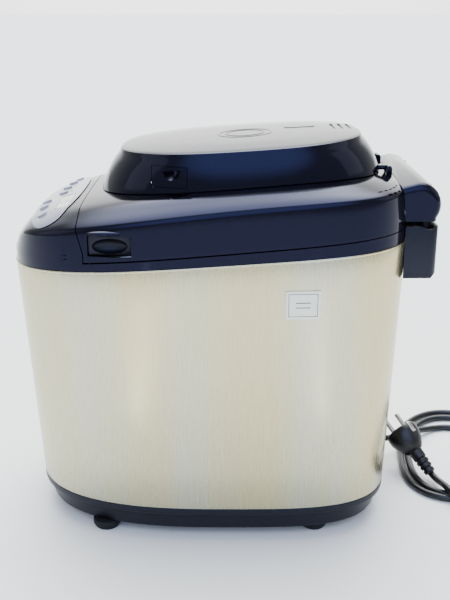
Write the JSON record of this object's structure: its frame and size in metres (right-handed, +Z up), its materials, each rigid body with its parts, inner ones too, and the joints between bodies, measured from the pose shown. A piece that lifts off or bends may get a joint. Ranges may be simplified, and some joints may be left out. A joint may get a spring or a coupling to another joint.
{
  "type": "bread machine",
  "caption": "Countertop bread machine with a brushed steel sleeve, a sloping black lid, a second domed lid over the dispensers, a control console and a looped mains cord.",
  "frame": {"origin": "on the floor, under the middle of the machine's box (the free cord and plug left out)", "axes": "+Z up, -Y the control console's front, +X the side with the label"},
  "size_m": [0.2854, 0.5209, 0.3734],
  "materials": {
    "brushed_steel": "vertically brushed sheet",
    "black_gloss": "glossy moulded",
    "black_plastic": "satin moulded",
    "panel_film": "printed silver-grey film",
    "button": "satin moulded",
    "display_glass": "clear lens over a dark display",
    "board_green": "circuit board",
    "oven_steel": "plain rolled sheet",
    "pan_coating": "non-stick coating",
    "wire_steel": "bright drawn",
    "grey_plastic": "moulded",
    "rubber": "matt",
    "brass": "sintered",
    "label_film": "plain film",
    "cord_vinyl": "satin sheath"
  },
  "bodies": {
    "base": {"steel_sleeve": "brushed_steel", "base_tray": "black_plastic", "foot_front_left": "rubber", "foot_front_right": "rubber", "foot_rear_left": "rubber", "foot_rear_right": "rubber", "top_frame": "black_gloss", "panel_membrane": "panel_film", "display_window": "display_glass", "display_module": "grey_plastic", "control_board": "board_green", "oven_chamber": "oven_steel", "heating_element": "wire_steel", "temperature_sensor": "wire_steel", "shaft_bearing": "brass", "pan_mount": "oven_steel", "drive_belt": "rubber", "motor": "oven_steel", "motor_bracket": "oven_steel", "rear_hinge_housing": "black_plastic", "lid_hinge_pin_left": "wire_steel", "lid_hinge_pin_right": "wire_steel", "cord_strain_relief": "cord_vinyl", "side_label": "label_film", "power_cord": "cord_vinyl", "plug_body": "cord_vinyl", "plug_pin_left": "wire_steel", "plug_pin_right": "wire_steel"},
    "shaft": {"drive_shaft": "wire_steel", "large_pulley": "grey_plastic", "drive_coupling": "grey_plastic"},
    "motor_shaft": {"motor_pulley": "wire_steel"},
    "pan": {"bread_pan": "pan_coating", "pan_lock_ring": "oven_steel"},
    "bail": {"bail_handle": "wire_steel"},
    "blade": {"pan_shaft": "wire_steel", "pan_coupling": "grey_plastic", "kneading_blade": "pan_coating"},
    "lid": {"lid_shell": "black_gloss", "lid_liner": "oven_steel", "lid_hinge_cover": "black_gloss", "lid_grip_left": "black_plastic", "lid_grip_right": "black_plastic", "nut_dispenser_box": "grey_plastic", "yeast_dispenser_box": "grey_plastic"},
    "nut_door": {"nut_flap": "oven_steel"},
    "yeast_door": {"yeast_flap": "oven_steel"},
    "dome": {"dome_shell": "black_gloss", "dome_inner_plate": "grey_plastic", "dome_grip_left": "black_plastic", "dome_grip_right": "black_plastic"},
    "button_start": {"button_start": "button"},
    "button_stop": {"button_stop": "button"},
    "button_menu": {"button_menu": "button"},
    "button_size": {"button_size": "button"},
    "button_crust": {"button_crust": "button"},
    "button_timer_up": {"button_timer_up": "button"},
    "button_timer_down": {"button_timer_down": "button"}
  },
  "joints": [
    {"name": "lid_hinge", "type": "hinge", "parent": "base", "child": "lid", "pos_m": [0, 0.1845, 0.3065], "axis": [-1, 0, 0], "range_deg": [0, 75]},
    {"name": "dome_hinge", "type": "hinge", "parent": "lid", "child": "dome", "pos_m": [0, 0.1536, 0.3418], "axis": [-1, 0, 0], "range_deg": [0, 75]},
    {"name": "nut_flap_hinge", "type": "hinge", "parent": "lid", "child": "nut_door", "pos_m": [-0.0487, 0.012, 0.28041], "axis": [0, 1, 0], "range_deg": [0, 65]},
    {"name": "yeast_flap_hinge", "type": "hinge", "parent": "lid", "child": "yeast_door", "pos_m": [0.0253, 0.017, 0.2831], "axis": [0, 1, 0], "range_deg": [0, 70]},
    {"name": "shaft_spin", "type": "hinge", "parent": "base", "child": "shaft", "pos_m": [0, 0.017, 0.05], "axis": [0, 0, 1], "continuous": true},
    {"name": "motor_spin", "type": "hinge", "parent": "base", "child": "motor_shaft", "pos_m": [0, -0.128, 0.05], "axis": [0, 0, 1], "continuous": true},
    {"name": "pan_twist", "type": "hinge", "parent": "base", "child": "pan", "pos_m": [0, 0.017, 0.084], "axis": [0, 0, 1], "range_deg": [0, 15]},
    {"name": "blade_spin", "type": "hinge", "parent": "pan", "child": "blade", "pos_m": [0, 0.017, 0.09], "axis": [0, 0, 1], "continuous": true},
    {"name": "bail_swing", "type": "hinge", "parent": "pan", "child": "bail", "pos_m": [0, 0.017, 0.2], "axis": [-1, 0, 0], "range_deg": [0, 140]},
    {"name": "button_start_press", "type": "slide", "parent": "base", "child": "button_start", "axis": [-0.1465, 0.4085, -0.9009], "range_m": [0, 0.001], "stiffness_N_per_m": 400, "springref_m": -0.0005},
    {"name": "button_stop_press", "type": "slide", "parent": "base", "child": "button_stop", "axis": [-0.078, 0.4549, -0.8871], "range_m": [0, 0.001], "stiffness_N_per_m": 400, "springref_m": -0.0005},
    {"name": "button_menu_press", "type": "slide", "parent": "base", "child": "button_menu", "axis": [-0.0215, 0.4189, -0.9078], "range_m": [0, 0.001], "stiffness_N_per_m": 400, "springref_m": -0.0005},
    {"name": "button_size_press", "type": "slide", "parent": "base", "child": "button_size", "axis": [0, 0.2819, -0.9595], "range_m": [0, 0.001], "stiffness_N_per_m": 400, "springref_m": -0.0005},
    {"name": "button_crust_press", "type": "slide", "parent": "base", "child": "button_crust", "axis": [0.0085, 0.2798, -0.96], "range_m": [0, 0.001], "stiffness_N_per_m": 400, "springref_m": -0.0005},
    {"name": "button_timer_up_press", "type": "slide", "parent": "base", "child": "button_timer_up", "axis": [0.0297, 0.2671, -0.9632], "range_m": [0, 0.001], "stiffness_N_per_m": 400, "springref_m": -0.0005},
    {"name": "button_timer_down_press", "type": "slide", "parent": "base", "child": "button_timer_down", "axis": [0.2068, 0.375, -0.9037], "range_m": [0, 0.001], "stiffness_N_per_m": 400, "springref_m": -0.0005}
  ],
  "couplings": [
    {"joint": "blade_spin", "follows": "shaft_spin", "ratio": 1},
    {"joint": "motor_spin", "follows": "shaft_spin", "ratio": 4.6667}
  ]
}
